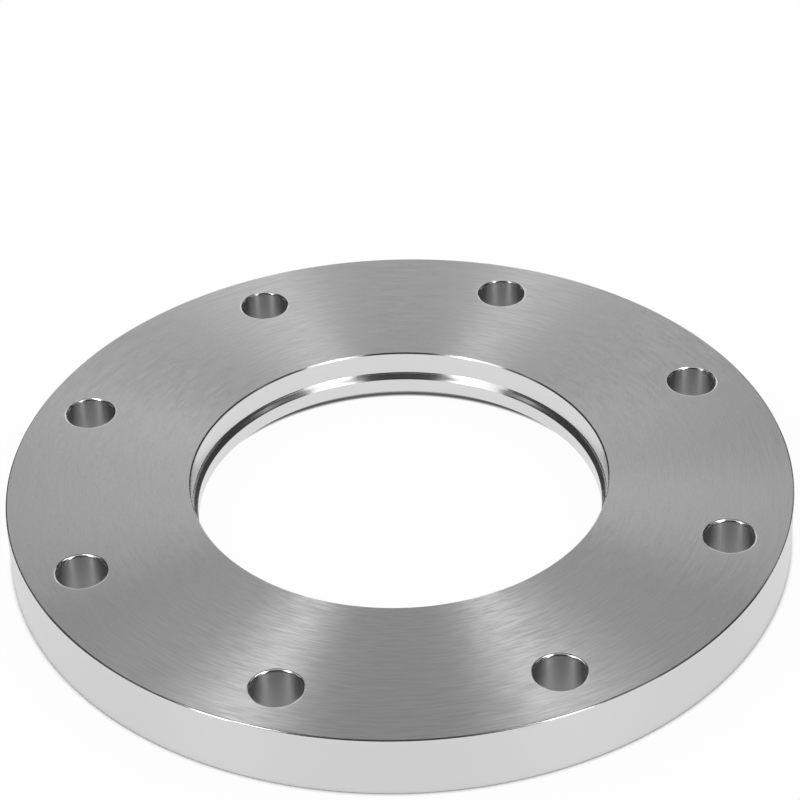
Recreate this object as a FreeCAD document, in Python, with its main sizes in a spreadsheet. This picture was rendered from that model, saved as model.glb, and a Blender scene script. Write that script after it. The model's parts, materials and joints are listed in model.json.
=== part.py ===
import FreeCAD, Part
import math
import os
import Sketcher

# Bored plate flange, turned from stainless steel plate as one piece.
# The frame stands on the underside: origin at the centre of the underside,
# +Z along the axis towards the face with the tube socket. Millimetres and degrees.

driving_sizes = [
    ("flange_thickness", 12, "underside to top face"),
    ("bolt_circle_diameter", 125, "circle through the centres of the bolt holes"),
    ("bolt_hole_diameter", 9, "clearance holes for M8 bolts"),
    ("bolt_hole_count", 8, "evenly spaced, astride the X and Y axes"),
    ("edge_distance", 10, "from the bolt circle out to the rim"),
    ("bore_diameter", 75, "through the lip"),
    ("seat_width", 1.05, "radial width of the conical seat that the tube's end meets"),
    ("seat_angle", 45, "between the seat and the axis"),
    ("socket_depth", 4.55, "top face down to the upper edge of the seat"),
    ("ledge_width", 4.25, "radial step above the centring ring"),
    ("recess_depth", 3.5, "underside up to the ledge"),
    ("rim_break", 0.25, "chamfer on both edges of the rim"),
    ("mouth_break", 0.25, "chamfer on the mouths of socket and recess"),
    ("lip_break", 0.15, "chamfer on the lower edge of the lip"),
    ("hole_break", 0.3, "chamfer on both ends of each bolt hole"),
]

doc = FreeCAD.newDocument("BoredPlateFlange")
sizes = doc.addObject("Spreadsheet::Sheet", "Sizes")
for row, (alias, value, meaning) in enumerate(driving_sizes, start=1):
    sizes.set(f"A{row}", alias)
    sizes.set(f"B{row}", str(value))
    sizes.set(f"C{row}", meaning)
    sizes.setAlias(f"B{row}", alias)
doc.recompute()

# Radii and heights that follow from the driving sizes
top_height = sizes.flange_thickness
seat_top = top_height - sizes.socket_depth
seat_height = sizes.seat_width / math.tan(math.radians(sizes.seat_angle))
ledge_height = sizes.recess_depth
bolt_circle_radius = sizes.bolt_circle_diameter / 2
bolt_hole_radius = sizes.bolt_hole_diameter / 2
rim_radius = bolt_circle_radius + sizes.edge_distance
bore_radius = sizes.bore_diameter / 2
socket_radius = bore_radius + sizes.seat_width
recess_radius = bore_radius + sizes.ledge_width
first_hole_angle = math.pi / sizes.bolt_hole_count

flange = doc.addObject("PartDesign::Body", "PlateFlange")
flange.Label = "plate_flange"
flange.Placement = FreeCAD.Placement()

# Which point of a line or circle a sketch constraint refers to
START, END, CENTRE = 1, 2, 3
SKETCH_ORIGIN = (-1, START)


def new_sketch(name, plane_role):
    sketch = flange.newObject("Sketcher::SketchObject", name)
    planes = flange.Origin.OriginFeatures
    plane = next(feature for feature in planes if feature.Role == plane_role)
    sketch.AttachmentSupport = [(plane, "")]
    sketch.MapMode = "FlatFace"
    return sketch


def add_dimension(sketch, name, kind, *references, value, expression):
    index = sketch.addConstraint(Sketcher.Constraint(kind, *references, value))
    sketch.renameConstraint(index, name)
    sketch.setExpression(f"Constraints.{name}", expression)


# Half section of the ring, one line after another: out along the underside, up the
# rim, in along the top face, down the socket to the conical seat, down the lip to the
# ledge over the centring ring, and down the wall of the recess
section = new_sketch("HalfSection", "XZ_Plane")
corners = [
    FreeCAD.Vector(recess_radius, 0, 0),
    FreeCAD.Vector(rim_radius, 0, 0),
    FreeCAD.Vector(rim_radius, top_height, 0),
    FreeCAD.Vector(socket_radius, top_height, 0),
    FreeCAD.Vector(socket_radius, seat_top, 0),
    FreeCAD.Vector(bore_radius, seat_top - seat_height, 0),
    FreeCAD.Vector(bore_radius, ledge_height, 0),
    FreeCAD.Vector(recess_radius, ledge_height, 0),
]
underside, rim, top_face, socket, seat, lip, ledge, recess = range(len(corners))
for line, corner in enumerate(corners):
    section.addGeometry(Part.LineSegment(corner, corners[(line + 1) % len(corners)]), False)
for line in range(len(corners)):
    next_line = (line + 1) % len(corners)
    section.addConstraint(Sketcher.Constraint("Coincident", line, END, next_line, START))
for line in (underside, top_face, ledge):
    section.addConstraint(Sketcher.Constraint("Horizontal", line))
for line in (rim, socket, lip, recess):
    section.addConstraint(Sketcher.Constraint("Vertical", line))
section.addConstraint(Sketcher.Constraint("PointOnObject", underside, START, -1))

add_dimension(section, "RimRadius", "DistanceX", *SKETCH_ORIGIN, rim, START,
              value=rim_radius,
              expression="Sizes.bolt_circle_diameter / 2 + Sizes.edge_distance")
add_dimension(section, "BoreRadius", "DistanceX", *SKETCH_ORIGIN, lip, START,
              value=bore_radius,
              expression="Sizes.bore_diameter / 2")
add_dimension(section, "SeatWidth", "DistanceX", seat, END, seat, START,
              value=sizes.seat_width,
              expression="Sizes.seat_width")
add_dimension(section, "SeatHeight", "DistanceY", seat, END, seat, START,
              value=seat_height,
              expression="Sizes.seat_width / tan(Sizes.seat_angle * 1 deg)")
add_dimension(section, "LedgeWidth", "DistanceX", ledge, START, ledge, END,
              value=sizes.ledge_width,
              expression="Sizes.ledge_width")
add_dimension(section, "Thickness", "DistanceY", rim, START, rim, END,
              value=top_height,
              expression="Sizes.flange_thickness")
add_dimension(section, "SocketDepth", "DistanceY", socket, END, socket, START,
              value=sizes.socket_depth,
              expression="Sizes.socket_depth")
add_dimension(section, "RecessDepth", "DistanceY", recess, END, recess, START,
              value=sizes.recess_depth,
              expression="Sizes.recess_depth")

turned_ring = flange.newObject("PartDesign::Revolution", "TurnedRing")
turned_ring.Profile = section
turned_ring.ReferenceAxis = (section, ["V_Axis"])
turned_ring.Angle = 360
doc.recompute()

# One bolt hole, half a pitch away from the X axis, then all of them round the circle
hole_sketch = new_sketch("BoltHoleSketch", "XY_Plane")
first_hole = FreeCAD.Vector(bolt_circle_radius * math.cos(first_hole_angle),
                            bolt_circle_radius * math.sin(first_hole_angle), 0)
hole_spoke = hole_sketch.addGeometry(Part.LineSegment(FreeCAD.Vector(), first_hole), True)
hole_circle = hole_sketch.addGeometry(
    Part.Circle(first_hole, FreeCAD.Vector(0, 0, 1), bolt_hole_radius), False)
hole_sketch.addConstraint(Sketcher.Constraint("Coincident", hole_spoke, START, *SKETCH_ORIGIN))
hole_sketch.addConstraint(Sketcher.Constraint("Coincident", hole_circle, CENTRE, hole_spoke, END))
add_dimension(hole_sketch, "BoltCircleRadius", "Distance", hole_spoke,
              value=bolt_circle_radius,
              expression="Sizes.bolt_circle_diameter / 2")
add_dimension(hole_sketch, "FirstHoleAngle", "Angle", hole_spoke,
              value=first_hole_angle,
              expression="180 deg / Sizes.bolt_hole_count")
add_dimension(hole_sketch, "HoleDiameter", "Diameter", hole_circle,
              value=sizes.bolt_hole_diameter,
              expression="Sizes.bolt_hole_diameter")

first_bolt_hole = flange.newObject("PartDesign::Pocket", "FirstBoltHole")
first_bolt_hole.Profile = hole_sketch
first_bolt_hole.Type = "ThroughAll"
first_bolt_hole.Reversed = True

bolt_holes = flange.newObject("PartDesign::PolarPattern", "BoltHoles")
bolt_holes.Originals = [first_bolt_hole]
bolt_holes.Axis = (hole_sketch, ["N_Axis"])
bolt_holes.Angle = 360
bolt_holes.setExpression("Occurrences", "Sizes.bolt_hole_count")
flange.Tip = bolt_holes
doc.recompute()

hole_volume = math.pi * bolt_hole_radius ** 2 * top_height * sizes.bolt_hole_count
cut_volume = turned_ring.Shape.Volume - bolt_holes.Shape.Volume
if not math.isclose(cut_volume, hole_volume, rel_tol=1e-6):
    raise RuntimeError(f"bolt holes cut {cut_volume:.1f} mm3 instead of {hole_volume:.1f} mm3")


def circular_edges(shape, radius, height, distance_from_axis=0):
    tolerance = 1e-4
    names = []
    for number, edge in enumerate(shape.Edges, start=1):
        if not isinstance(edge.Curve, Part.Circle):
            continue
        centre = edge.Curve.Center
        misfit = max(abs(edge.Curve.Radius - radius),
                     abs(centre.z - height),
                     abs(math.hypot(centre.x, centre.y) - distance_from_axis))
        if misfit < tolerance:
            names.append(f"Edge{number}")
    return names


def break_edges(name, size_alias, circles):
    """Chamfers the circular edges given as (radius, height) or (radius, height, distance)."""
    base = flange.Tip
    edges = [edge for circle in circles for edge in circular_edges(base.Shape, *circle)]
    chamfer = flange.newObject("PartDesign::Chamfer", name)
    chamfer.Base = (base, edges)
    chamfer.setExpression("Size", f"Sizes.{size_alias}")
    flange.Tip = chamfer
    doc.recompute()
    if not chamfer.Shape.Volume < base.Shape.Volume:
        raise RuntimeError(f"{name} takes nothing off")


break_edges("RimBreak", "rim_break", [(rim_radius, 0), (rim_radius, top_height)])
break_edges("MouthBreak", "mouth_break", [(recess_radius, 0), (socket_radius, top_height)])
break_edges("LipBreak", "lip_break", [(bore_radius, ledge_height)])
break_edges("HoleBreak", "hole_break", [
    (bolt_hole_radius, 0, bolt_circle_radius),
    (bolt_hole_radius, top_height, bolt_circle_radius),
])

for item in doc.Objects:
    if "Invalid" in item.State or "Error" in item.State:
        raise RuntimeError(f"{item.Name} failed: {item.State}")
if flange.Shape.isNull() or not flange.Shape.isValid():
    raise RuntimeError("the flange has no valid shape")

os.makedirs("parts", exist_ok=True)
flange.Shape.exportStep(f"parts/{flange.Label}.step")
print(f"{flange.Label}: {len(flange.Shape.Solids)} solid, {flange.Shape.Volume:.1f} mm3")
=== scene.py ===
import json
import math

import bmesh
import bpy
from mathutils import Matrix, Vector


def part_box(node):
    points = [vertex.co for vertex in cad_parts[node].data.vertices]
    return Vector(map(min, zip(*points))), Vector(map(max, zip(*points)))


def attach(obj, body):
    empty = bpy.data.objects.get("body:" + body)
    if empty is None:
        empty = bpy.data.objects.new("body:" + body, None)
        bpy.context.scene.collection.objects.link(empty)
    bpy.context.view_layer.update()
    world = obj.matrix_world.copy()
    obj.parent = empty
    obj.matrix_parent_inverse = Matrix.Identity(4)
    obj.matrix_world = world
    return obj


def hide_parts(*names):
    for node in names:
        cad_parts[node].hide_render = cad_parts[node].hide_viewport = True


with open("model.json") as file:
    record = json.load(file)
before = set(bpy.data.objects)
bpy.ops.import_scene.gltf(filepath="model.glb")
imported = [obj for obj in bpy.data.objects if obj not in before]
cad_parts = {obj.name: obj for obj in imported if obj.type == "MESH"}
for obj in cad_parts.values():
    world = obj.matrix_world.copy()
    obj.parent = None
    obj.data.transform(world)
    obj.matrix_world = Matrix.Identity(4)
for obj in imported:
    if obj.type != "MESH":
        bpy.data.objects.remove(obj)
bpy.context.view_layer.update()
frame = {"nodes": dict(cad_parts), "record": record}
print("frame loaded, nodes:", ", ".join(frame["nodes"]))

mm = 0.001
scene = bpy.context.scene
mounts = {mount["name"]: mount for mount in frame["record"]["mounts"]}


def linearColour(hexCode):
    # sRGB hex to the linear values that the shaders take
    channels = [int(hexCode[i:i + 2], 16) / 255 for i in (1, 3, 5)]
    return [c / 12.92 if c <= 0.04045 else ((c + 0.055) / 1.055) ** 2.4 for c in channels] + [1.0]


def wallEnds(mount):
    # Heights of the lower and upper end of a bore's straight wall
    middle = mount["pos_m"][2]
    half = mount["dims"]["length_mm"] / 2 * mm
    return middle - half, middle + half


# Ring, turned on a lathe from both sides. Radii and heights come from the frame.
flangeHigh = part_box("plate_flange")[1]
ring = {
    "rim": flangeHigh.x,
    "top": flangeHigh.z,
    "bore": mounts["through_bore"]["dims"]["r_mm"] * mm,
    "socket": mounts["tube_socket"]["dims"]["r_mm"] * mm,
    "recess": mounts["ring_recess"]["dims"]["r_mm"] * mm,
    "boltCircle": mounts["bolt_circle"]["dims"]["pcd_mm"] / 2 * mm,
    "boltHole": mounts["bolt_circle"]["dims"]["hole_r_mm"] * mm,
    "holeCount": mounts["bolt_circle"]["dims"]["count"],
    "seatTop": wallEnds(mounts["tube_socket"])[0],   # the conical seat that the tube's end meets
    "seatLow": wallEnds(mounts["through_bore"])[1],
    "ledge": wallEnds(mounts["ring_recess"])[1],     # the step over the centring ring
    # Tool marks on the seat: share of the way up it, and how far out the mark lies
    "seatMarks": [(0.22, 0), (0.62, 0.035 * mm), (0.80, 0), (0.82, 0.03 * mm)],
    # How far each edge is broken, and in how many flats: one is a chamfer, more are a rounding
    "rimEdge": (0.3 * mm, 4),
    "mouthEdge": (0.25 * mm, 1),
    "lipEdge": (0.4 * mm, 4),
    "holeEdge": (0.45 * mm, 5),
    "ringSteps": 720,          # flats round the ring, fine enough for a smooth outline
    "holeSteps": 96,
}

# The ring's finishes, as places in its list of materials. They follow the order of steel, below.
facing, seat, turning, boring, edgeBreak, drilling = range(6)
# Directions in a half section, whose x is the distance from the axis
outward, inward = Vector((1, 0)), Vector((-1, 0))
upward, downward = Vector((0, 1)), Vector((0, -1))


def brokenEdge(edge, radius, height, arriving, leaving, finishAfter):
    # A square corner of a section, broken: its points, each with the finish of the band after it.
    # Arriving and leaving are the outline's directions before and after the corner.
    size, flats = edge
    centre = Vector((radius, height)) + size * (leaving - arriving)
    points = []
    for flat in range(flats + 1):
        turn = math.pi / 2 * flat / flats
        point = centre + size * (math.sin(turn) * arriving - math.cos(turn) * leaving)
        points.append((point.x, point.y, edgeBreak if flat < flats else finishAfter))
    return points


def addCircle(mesh, centre, radius, height, steps):
    points = []
    for step in range(steps):
        angle = 2 * math.pi * step / steps
        points.append(mesh.verts.new((centre.x + radius * math.cos(angle),
                                      centre.y + radius * math.sin(angle), height)))
    return points


def bandBetween(mesh, uvLayer, first, second, finish):
    # A band of quads between two circles. Its UV runs round it, for the tool marks' direction.
    steps = len(first)
    for step in range(steps):
        following = (step + 1) % steps
        face = mesh.faces.new((first[step], first[following], second[following], second[step]))
        face.smooth = True
        face.material_index = finish
        for loop, (u, v) in zip(face.loops, ((0, 0), (1, 0), (1, 1), (0, 1))):
            loop[uvLayer].uv = ((step + u) / steps, v)
    for circle in (first, second):
        for step in range(steps):
            mesh.edges.get((circle[step], circle[(step + 1) % steps])).smooth = False


def flatBetween(mesh, circles, finish):
    # A flat face bounded by circles: the outer one, the inner one and the bolt holes
    edges = []
    for circle in circles:
        for step in range(len(circle)):
            edges.append(mesh.edges.get((circle[step], circle[(step + 1) % len(circle)])))
    made = bmesh.ops.triangle_fill(mesh, edges=edges, use_beauty=True)
    for item in made["geom"]:
        if isinstance(item, bmesh.types.BMFace):
            item.material_index = finish
            item.smooth = False


def turnedBands(mesh, uvLayer, centre, section, steps):
    # Turns a section about centre. Each point's finish is that of the band to the next point,
    # and None leaves the band out. Gives the circles.
    circles = [addCircle(mesh, centre, radius, height, steps) for radius, height, _ in section]
    for number, (_, _, finish) in enumerate(section):
        if finish is not None:
            bandBetween(mesh, uvLayer, circles[number], circles[number + 1], finish)
    return circles


def makeRing(materials):
    mesh = bmesh.new()
    uvLayer = mesh.loops.layers.uv.new("round")

    # Half section, from the rim's top edge round to the socket's mouth
    seatWidth, seatHeight = ring["socket"] - ring["bore"], ring["seatTop"] - ring["seatLow"]
    section = [
        *brokenEdge(ring["rimEdge"], ring["rim"], ring["top"], outward, downward, turning),
        *brokenEdge(ring["rimEdge"], ring["rim"], 0, downward, inward, None),
        *brokenEdge(ring["mouthEdge"], ring["recess"], 0, inward, upward, boring),
        (ring["recess"], ring["ledge"], seat),
        *brokenEdge(ring["lipEdge"], ring["bore"], ring["ledge"], inward, upward, boring),
        (ring["bore"], ring["seatLow"], seat),
        *[(ring["bore"] + share * seatWidth + offset, ring["seatLow"] + share * seatHeight, seat)
          for share, offset in ring["seatMarks"]],
        (ring["socket"], ring["seatTop"], boring),
        *brokenEdge(ring["mouthEdge"], ring["socket"], ring["top"], upward, outward, None),
    ]
    circles = turnedBands(mesh, uvLayer, Vector((0, 0)), section, ring["ringSteps"])
    topCircles = [circles[0], circles[-1]]
    underside = [finish for _, _, finish in section].index(None)
    underCircles = [circles[underside], circles[underside + 1]]

    hole = [
        *brokenEdge(ring["holeEdge"], ring["boltHole"], ring["top"], inward, downward, drilling),
        *brokenEdge(ring["holeEdge"], ring["boltHole"], 0, downward, outward, None),
    ]
    for number in range(ring["holeCount"]):
        angle = math.pi * (2 * number + 1) / ring["holeCount"]  # astride the X and Y axes
        centre = ring["boltCircle"] * Vector((math.cos(angle), math.sin(angle)))
        walls = turnedBands(mesh, uvLayer, centre, hole, ring["holeSteps"])
        topCircles.append(walls[0])
        underCircles.append(walls[-1])
    flatBetween(mesh, topCircles, facing)
    flatBetween(mesh, underCircles, facing)
    bmesh.ops.recalc_face_normals(mesh, faces=mesh.faces)

    data = bpy.data.meshes.new("flangeRing")
    mesh.to_mesh(data)
    mesh.free()
    for material in materials:
        data.materials.append(material)
    piece = bpy.data.objects.new("flangeRing", data)
    scene.collection.objects.link(piece)
    return piece


def addNode(tree, kind, settings=None, **links):
    # Adds one shader node. Settings go to the node. Links are its inputs, by name or as _number,
    # each with a socket or a value.
    node = tree.nodes.new(kind)
    for name, value in (settings or {}).items():
        setattr(node, name, value)
    for name, value in links.items():
        socket = node.inputs[int(name[1:]) if name[1:].isdigit() else name.replace("_", " ")]
        if isinstance(value, bpy.types.NodeSocket):
            tree.links.new(value, socket)
        else:
            socket.default_value = value
    return node


def newMaterial(name):
    material = bpy.data.materials.new(name)
    material.use_nodes = True
    tree = material.node_tree
    tree.nodes.clear()
    output = addNode(tree, "ShaderNodeOutputMaterial")
    return material, tree, output


def toolLines(tree, spacing, reach):
    # Fine lines round the axis, about spacing apart, each fading out after reach degrees.
    # Gives a value between 0 and 1.
    place = addNode(tree, "ShaderNodeTexCoord")
    point = addNode(tree, "ShaderNodeSeparateXYZ", None, _0=place.outputs["Object"])
    flat = addNode(tree, "ShaderNodeCombineXYZ", None, _0=point.outputs["X"], _1=point.outputs["Y"])
    radius = addNode(tree, "ShaderNodeVectorMath", {"operation": "LENGTH"}, _0=flat.outputs[0])
    spoke = addNode(tree, "ShaderNodeVectorMath", {"operation": "NORMALIZE"}, _0=flat.outputs[0])
    turns = addNode(tree, "ShaderNodeVectorMath", {"operation": "SCALE"},
                    _0=spoke.outputs[0], Scale=1 / math.radians(reach))
    lines = addNode(tree, "ShaderNodeMath", {"operation": "DIVIDE"},
                    _0=radius.outputs["Value"], _1=spacing)
    around = addNode(tree, "ShaderNodeSeparateXYZ", None, _0=turns.outputs[0])
    field = addNode(tree, "ShaderNodeCombineXYZ", None, _0=around.outputs["X"],
                    _1=around.outputs["Y"], _2=lines.outputs[0])
    return addNode(tree, "ShaderNodeTexNoise", {"noise_dimensions": "3D"}, Vector=field.outputs[0],
                   Scale=1.0, Detail=2.0, Roughness=0.6).outputs[0]


def factor(tree, lines, least, most):
    # The tool lines as a factor between least and most. The noise behind them lies mostly
    # between these two values.
    noiseLow, noiseHigh = 0.38, 0.62
    return addNode(tree, "ShaderNodeMapRange", None, Value=lines, From_Min=noiseLow,
                   From_Max=noiseHigh, To_Min=least, To_Max=most).outputs[0]


def cutStainless(name, look):
    # Machined stainless steel: the tool's fine grooves blur a reflection far across them and
    # little along them, so that a face shows bright fans and a wall shows upright bands
    material, tree, output = newMaterial(name)
    tangent = addNode(tree, "ShaderNodeTangent", look["tangent"])
    colour = linearColour(look["colour"])
    # The shader takes one roughness, the square root of the two blurs' geometric mean, and an
    # anisotropy, which at 1 leaves a tenth of the blur along. The tangent follows the grooves,
    # and a quarter turn from it lays the wider blur across them.
    across, along = look["across"], look["along"]
    roughness = (across * along) ** 0.25
    anisotropy = (1 - along / across) / 0.9
    quarterTurn = 0.25
    if "lines" in look:
        # Deeper and shallower grooves side by side. A deeper one spreads the light more widely, which
        # shows as a short bright streak in a fan. Its colour is a little lighter too, which is painted
        # light: it makes up for the light that the wider spread takes from the rest of the face, lit
        # from all round, so that this stays even, and it brightens the streaks.
        lines = toolLines(tree, look["lines"]["spacing"], look["lines"]["reach"])
        colour = addNode(tree, "ShaderNodeVectorMath", {"operation": "SCALE"}, _0=colour[:3],
                         Scale=factor(tree, lines, *look["lines"]["colour"])).outputs[0]
        roughness = addNode(tree, "ShaderNodeMath", {"operation": "MULTIPLY"}, _0=roughness,
                            _1=factor(tree, lines, *look["lines"]["roughness"])).outputs[0]
    shader = addNode(tree, "ShaderNodeBsdfPrincipled", None, Base_Color=colour, Metallic=1.0,
                     Roughness=roughness, Anisotropic=anisotropy,
                     Anisotropic_Rotation=quarterTurn, Tangent=tangent.outputs[0])
    tree.links.new(shader.outputs[0], output.inputs["Surface"])
    return material


aboutAxis = {"direction_type": "RADIAL", "axis": "Z"}
roundBand = {"direction_type": "UV_MAP", "uv_map": "round"}
steel = {
    # Faced with a coarse feed: wide bright fans with streaks. The lines are drawn 0.28 mm apart,
    # because the real ones, about 0.1 mm apart, are too fine to show.
    "facedStainless": {"colour": "#D0D0D0", "across": 0.36, "along": 0.036, "tangent": aboutAxis,
                       # The lines' colour range is painted light: deeper grooves are lighter, to make
                       # up for the light that their wider spread takes
                       "lines": {"spacing": 0.28 * mm, "reach": 5, "roughness": (0.85, 1.15),
                                 "colour": (0.91, 1.09)}},
    # Faced with a fine feed: narrow steps with clear bright and dark arcs
    "fineFacedStainless": {"colour": "#D8D8D8", "across": 0.05, "along": 0.018, "tangent": roundBand},
    # Turned on the outside: soft upright bands
    "turnedStainless": {"colour": "#D8D8D8", "across": 0.17, "along": 0.048, "tangent": roundBand},
    # Bored: bright, nearly a mirror
    "boredStainless": {"colour": "#D8D8D8", "across": 0.07, "along": 0.02, "tangent": roundBand},
    # Edges rubbed smooth: crisp glints
    "brokenEdgeStainless": {"colour": "#D8D8D8", "across": 0.03, "along": 0.015, "tangent": roundBand},
    # Drilled: darker, blurred up and down, with faint upright bands
    "drilledStainless": {"colour": "#C8C8C8", "across": 0.35, "along": 0.055, "tangent": roundBand},
}
flangeRing = makeRing([cutStainless(name, look) for name, look in steel.items()])
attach(flangeRing, "root")
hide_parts("plate_flange")
print("ring made:", len(flangeRing.data.polygons), "faces")

# Floor: plain white, shown white to the camera and to the steel, with a soft contact shadow that is
# partly painted shade, set by distance from the axis, and partly the lamps' own shadow on its matt
# part
studio = {
    "floorSize": 6.0,
    "floorDrop": 0.02 * mm,    # a hair below the ring, so that the two flats don't lie in one plane
    "floorColour": "#F4F4F4",
    # The floor's glow, which is the share of plain white in what the camera and the steel see. It is
    # set by distance from the axis, and where it is less than full near the ring, that is painted
    # shade.
    "shadowReach": 25 * mm,    # full this far from the ring, inside the bore and outside
    "glowNear": 0.96,          # close to the ring, which paints a faint shadow
    "creviceWidth": 0.5 * mm,  # none this close to the recess's wall, inside it, which paints a dark crevice
    "creviceFade": 0.3 * mm,   # over which it fades there
    "creviceShade": 0.32,      # painted shade: how much of its colour the matt floor keeps there
    "recessFade": 1 * mm,      # over which it returns, under the ring
    "glowBelow": 0.42,         # under the bolt holes: painted light, a dimmer white where the ring hides the floor from the lamps
    "rimFadeIn": 0.35 * mm,    # over which it fades towards the rim
    "rimWidth": 0.35 * mm,     # none this close to the rim, under it, which paints a dark line at its foot
    "rimFadeOut": 0.4 * mm,    # over which it returns, outside
}


def floorStops(reach):
    # Distance from the axis, share of glow there, and how pale the matt floor is, which below 1 is
    # painted shade
    crevice = ring["recess"] - studio["creviceWidth"]
    rimShade = ring["rim"] - studio["rimWidth"]
    near, below, shade = studio["glowNear"], studio["glowBelow"], studio["creviceShade"]
    return [
        (ring["recess"] - studio["shadowReach"], 1.0, 1.0),
        (crevice - studio["creviceFade"], near, 1.0),
        (crevice, 0.0, shade),
        (ring["recess"], 0.0, shade),
        (ring["recess"] + studio["recessFade"], below, 1.0),
        (rimShade - studio["rimFadeIn"], below, 1.0),
        (rimShade, 0.0, 1.0),
        (ring["rim"], 0.0, 1.0),
        (ring["rim"] + studio["rimFadeOut"], near, 1.0),
        (reach, 1.0, 1.0),
    ]


def makeFloor():
    mesh = bmesh.new()
    bmesh.ops.create_grid(mesh, x_segments=1, y_segments=1, size=studio["floorSize"] / 2)
    data = bpy.data.meshes.new("floor")
    mesh.to_mesh(data)
    mesh.free()
    material, tree, output = newMaterial("whiteFloor")
    rays = addNode(tree, "ShaderNodeLightPath")
    seen = addNode(tree, "ShaderNodeMath", {"operation": "MAXIMUM"},
                   _0=rays.outputs["Is Camera Ray"], _1=rays.outputs["Is Glossy Ray"])
    seen = addNode(tree, "ShaderNodeMath", {"operation": "MAXIMUM"},
                   _0=seen.outputs[0], _1=rays.outputs["Is Transmission Ray"])
    # Painted shade: the glow fades near the ring, by distance from the axis, and stops short of it, so
    # that the crevices under its edges are dark. Under the bolt holes a dimmer glow is painted light,
    # seen from above through them.
    reach = ring["rim"] + studio["shadowReach"]
    place = addNode(tree, "ShaderNodeNewGeometry")
    fromAxis = addNode(tree, "ShaderNodeVectorMath", {"operation": "LENGTH"},
                       _0=place.outputs["Position"])
    shareOfReach = addNode(tree, "ShaderNodeMath", {"operation": "DIVIDE"},
                           _0=fromAxis.outputs["Value"], _1=reach)
    glowAndPaintedShade = addNode(tree, "ShaderNodeValToRGB", None, _0=shareOfReach.outputs[0])
    ramp = glowAndPaintedShade.color_ramp
    ramp.interpolation = "EASE"
    for number, (distance, share, paintedShadeFactor) in enumerate(floorStops(reach)):
        # A ramp comes with two stops
        element = ramp.elements[number] if number < 2 else ramp.elements.new(1.0)
        element.position = distance / reach
        element.color = (share, paintedShadeFactor, 0.0, 1.0)
    parts = addNode(tree, "ShaderNodeSeparateColor", None, _0=glowAndPaintedShade.outputs[0])
    share = addNode(tree, "ShaderNodeMath", {"operation": "MULTIPLY"},
                    _0=seen.outputs[0], _1=parts.outputs[0])
    # Painted shade: the ramp's second channel darkens the matt floor's colour in the crevice under the
    # lip
    paintedShadeFloorColour = addNode(tree, "ShaderNodeVectorMath", {"operation": "SCALE"},
                   _0=linearColour(studio["floorColour"])[:3], Scale=parts.outputs[1])
    matt = addNode(tree, "ShaderNodeBsdfDiffuse", None, Color=paintedShadeFloorColour.outputs[0])
    white = addNode(tree, "ShaderNodeEmission", None, Color=(1, 1, 1, 1), Strength=1.0)
    mix = addNode(tree, "ShaderNodeMixShader", None, _0=share.outputs[0],
                  _1=matt.outputs[0], _2=white.outputs[0])
    # From below the floor is clear, so that the underside can be looked at
    clear = addNode(tree, "ShaderNodeBsdfTransparent")
    sides = addNode(tree, "ShaderNodeMixShader", None, _0=place.outputs["Backfacing"],
                    _1=mix.outputs[0], _2=clear.outputs[0])
    tree.links.new(sides.outputs[0], output.inputs["Surface"])
    data.materials.append(material)
    floor = bpy.data.objects.new("floor", data)
    floor.location.z = -studio["floorDrop"]
    scene.collection.objects.link(floor)


makeFloor()


def direction(azimuth, elevation):
    # Unit vector from the flange outwards. Both angles are degrees, azimuth 0 is +X and 90 is +Y.
    turn, rise = math.radians(azimuth), math.radians(elevation)
    return Vector((math.cos(turn) * math.cos(rise), math.sin(turn) * math.cos(rise), math.sin(rise)))


# Softboxes. Place is azimuth and elevation, and size is width, in degrees of azimuth, and height,
# as the flange sees them. Strength is the brightness that the steel sees, 1 being white, and
# distance is in metres.
# The tall strips in front, left and right, make the two bright fans on the top face. Beside each
# stands a faint edge panel, and above it a broad, weaker one. Two boxes hang high at the sides,
# with a weak card below each, and a weak one hangs overhead. Behind is a pale backdrop, whose
# upper part is darker. The camera's side stays dark.
softboxes = {
    "leftStrip": {"place": (221.0, 34), "size": (10.5, 44), "strength": 3.9, "distance": 0.38},
    "leftEdge": {"place": (231, 27), "size": (12, 30), "strength": 0.35},
    "leftTop": {"place": (217.3, 45.5), "size": (37.5, 23), "strength": 1.35},
    "leftHigh": {"place": (181, 67.5), "size": (50, 15), "strength": 2.4, "distance": 0.35},
    "leftCard": {"place": (162, 55), "size": (38, 17), "strength": 0.75, "distance": 0.3},
    "rightStrip": {"place": (307.0, 32), "size": (13.5, 48), "strength": 2.6, "distance": 0.45},
    "rightEdge": {"place": (321.9, 17), "size": (20, 32), "strength": 0.45},
    "rightTop": {"place": (310.2, 47), "size": (31.4, 25), "strength": 1.5},
    "rightHigh": {"place": (358, 68), "size": (60, 16), "strength": 2.5},
    "rightCard": {"place": (14, 55), "size": (37, 17), "strength": 0.57, "distance": 0.3},
    "backdrop": {"place": (89.4, 20), "size": (52, 32), "strength": 0.9, "distance": 0.35},
    "backdropTop": {"place": (85.1, 43), "size": (74, 14), "strength": 0.65, "distance": 0.35},
    "overhead": {"place": (90, 89), "size": (172, 27), "strength": 0.74},
}


def addSoftbox(name, place, size, strength, distance=0.6):
    azimuth, elevation = place
    width, height = size
    data = bpy.data.lights.new(name, "AREA")
    data.shape = "RECTANGLE"
    data.size = 2 * distance * math.tan(math.radians(width / 2)) * math.cos(math.radians(elevation))
    data.size_y = 2 * distance * math.tan(math.radians(height / 2))
    data.energy = strength * math.pi * data.size * data.size_y
    lamp = bpy.data.objects.new(name, data)
    lamp.location = direction(azimuth, elevation) * distance
    lamp.rotation_euler = (-lamp.location).to_track_quat("-Z", "Y").to_euler()
    scene.collection.objects.link(lamp)


for name, box in softboxes.items():
    addSoftbox(name, **box)

# The room is dim. It is shown white to the camera, and below the horizon, where the floor is,
# to the steel too.
room = {"colour": "#404040"}


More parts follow.
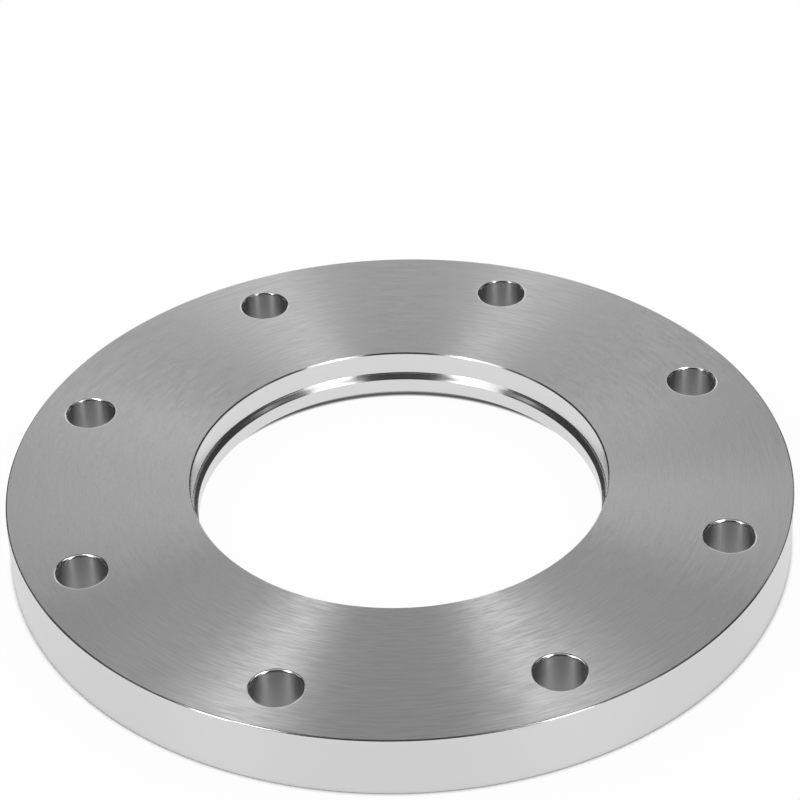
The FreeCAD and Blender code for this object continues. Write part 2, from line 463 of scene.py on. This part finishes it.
def makeRoom():
    world = bpy.data.worlds.new("studio")
    world.use_nodes = True
    scene.world = world
    tree = world.node_tree
    tree.nodes.clear()
    output = addNode(tree, "ShaderNodeOutputWorld")
    rays = addNode(tree, "ShaderNodeLightPath")
    place = addNode(tree, "ShaderNodeTexCoord")
    heading = addNode(tree, "ShaderNodeSeparateXYZ", None, _0=place.outputs["Generated"])
    belowHorizon = addNode(tree, "ShaderNodeMath", {"operation": "LESS_THAN"},
                           _0=heading.outputs["Z"], _1=0.0)
    mirrored = addNode(tree, "ShaderNodeMath", {"operation": "MAXIMUM"},
                       _0=rays.outputs["Is Glossy Ray"], _1=rays.outputs["Is Transmission Ray"])
    mirrored = addNode(tree, "ShaderNodeMath", {"operation": "MULTIPLY"},
                       _0=mirrored.outputs[0], _1=belowHorizon.outputs[0])
    shown = addNode(tree, "ShaderNodeMath", {"operation": "MAXIMUM"},
                    _0=rays.outputs["Is Camera Ray"], _1=mirrored.outputs[0])
    dim = addNode(tree, "ShaderNodeBackground", None, Color=linearColour(room["colour"]), Strength=1.0)
    white = addNode(tree, "ShaderNodeBackground", None, Color=(1, 1, 1, 1), Strength=1.0)
    mix = addNode(tree, "ShaderNodeMixShader", None, _0=shown.outputs[0],
                  _1=dim.outputs[0], _2=white.outputs[0])
    tree.links.new(mix.outputs[0], output.inputs["Surface"])


makeRoom()
print("floor, softboxes and room made")

# Camera, placed about the centre of the top face
view = {
    "azimuth": -92.12,         # where it stands, 0 being +X and 90 being +Y
    "elevation": 37.305,
    "distance": 515.49 * mm,
    "aimAhead": 22.83 * mm,    # the optical axis meets the top face this far past its centre
    "aimRight": 0.60 * mm,
    "roll": -1.738,
    "lens": 125.48,
    "sensor": 36.0,
    "clip": (0.01, 20),
}


def makeCamera():
    data = bpy.data.cameras.new("camera")
    data.lens = view["lens"]
    data.sensor_width = view["sensor"]
    data.clip_start, data.clip_end = view["clip"]
    camera = bpy.data.objects.new("camera", data)
    top = Vector((0, 0, ring["top"]))
    ahead = -direction(view["azimuth"], 0)
    right = Vector((ahead.y, -ahead.x, 0))
    camera.location = top + direction(view["azimuth"], view["elevation"]) * view["distance"]
    aim = top + ahead * view["aimAhead"] + right * view["aimRight"]
    look = (aim - camera.location).to_track_quat("-Z", "Y").to_matrix()
    camera.rotation_euler = (look @ Matrix.Rotation(math.radians(view["roll"]), 3, "Z")).to_euler()
    scene.collection.objects.link(camera)
    scene.camera = camera


makeCamera()
scene.view_settings.view_transform = "Standard"
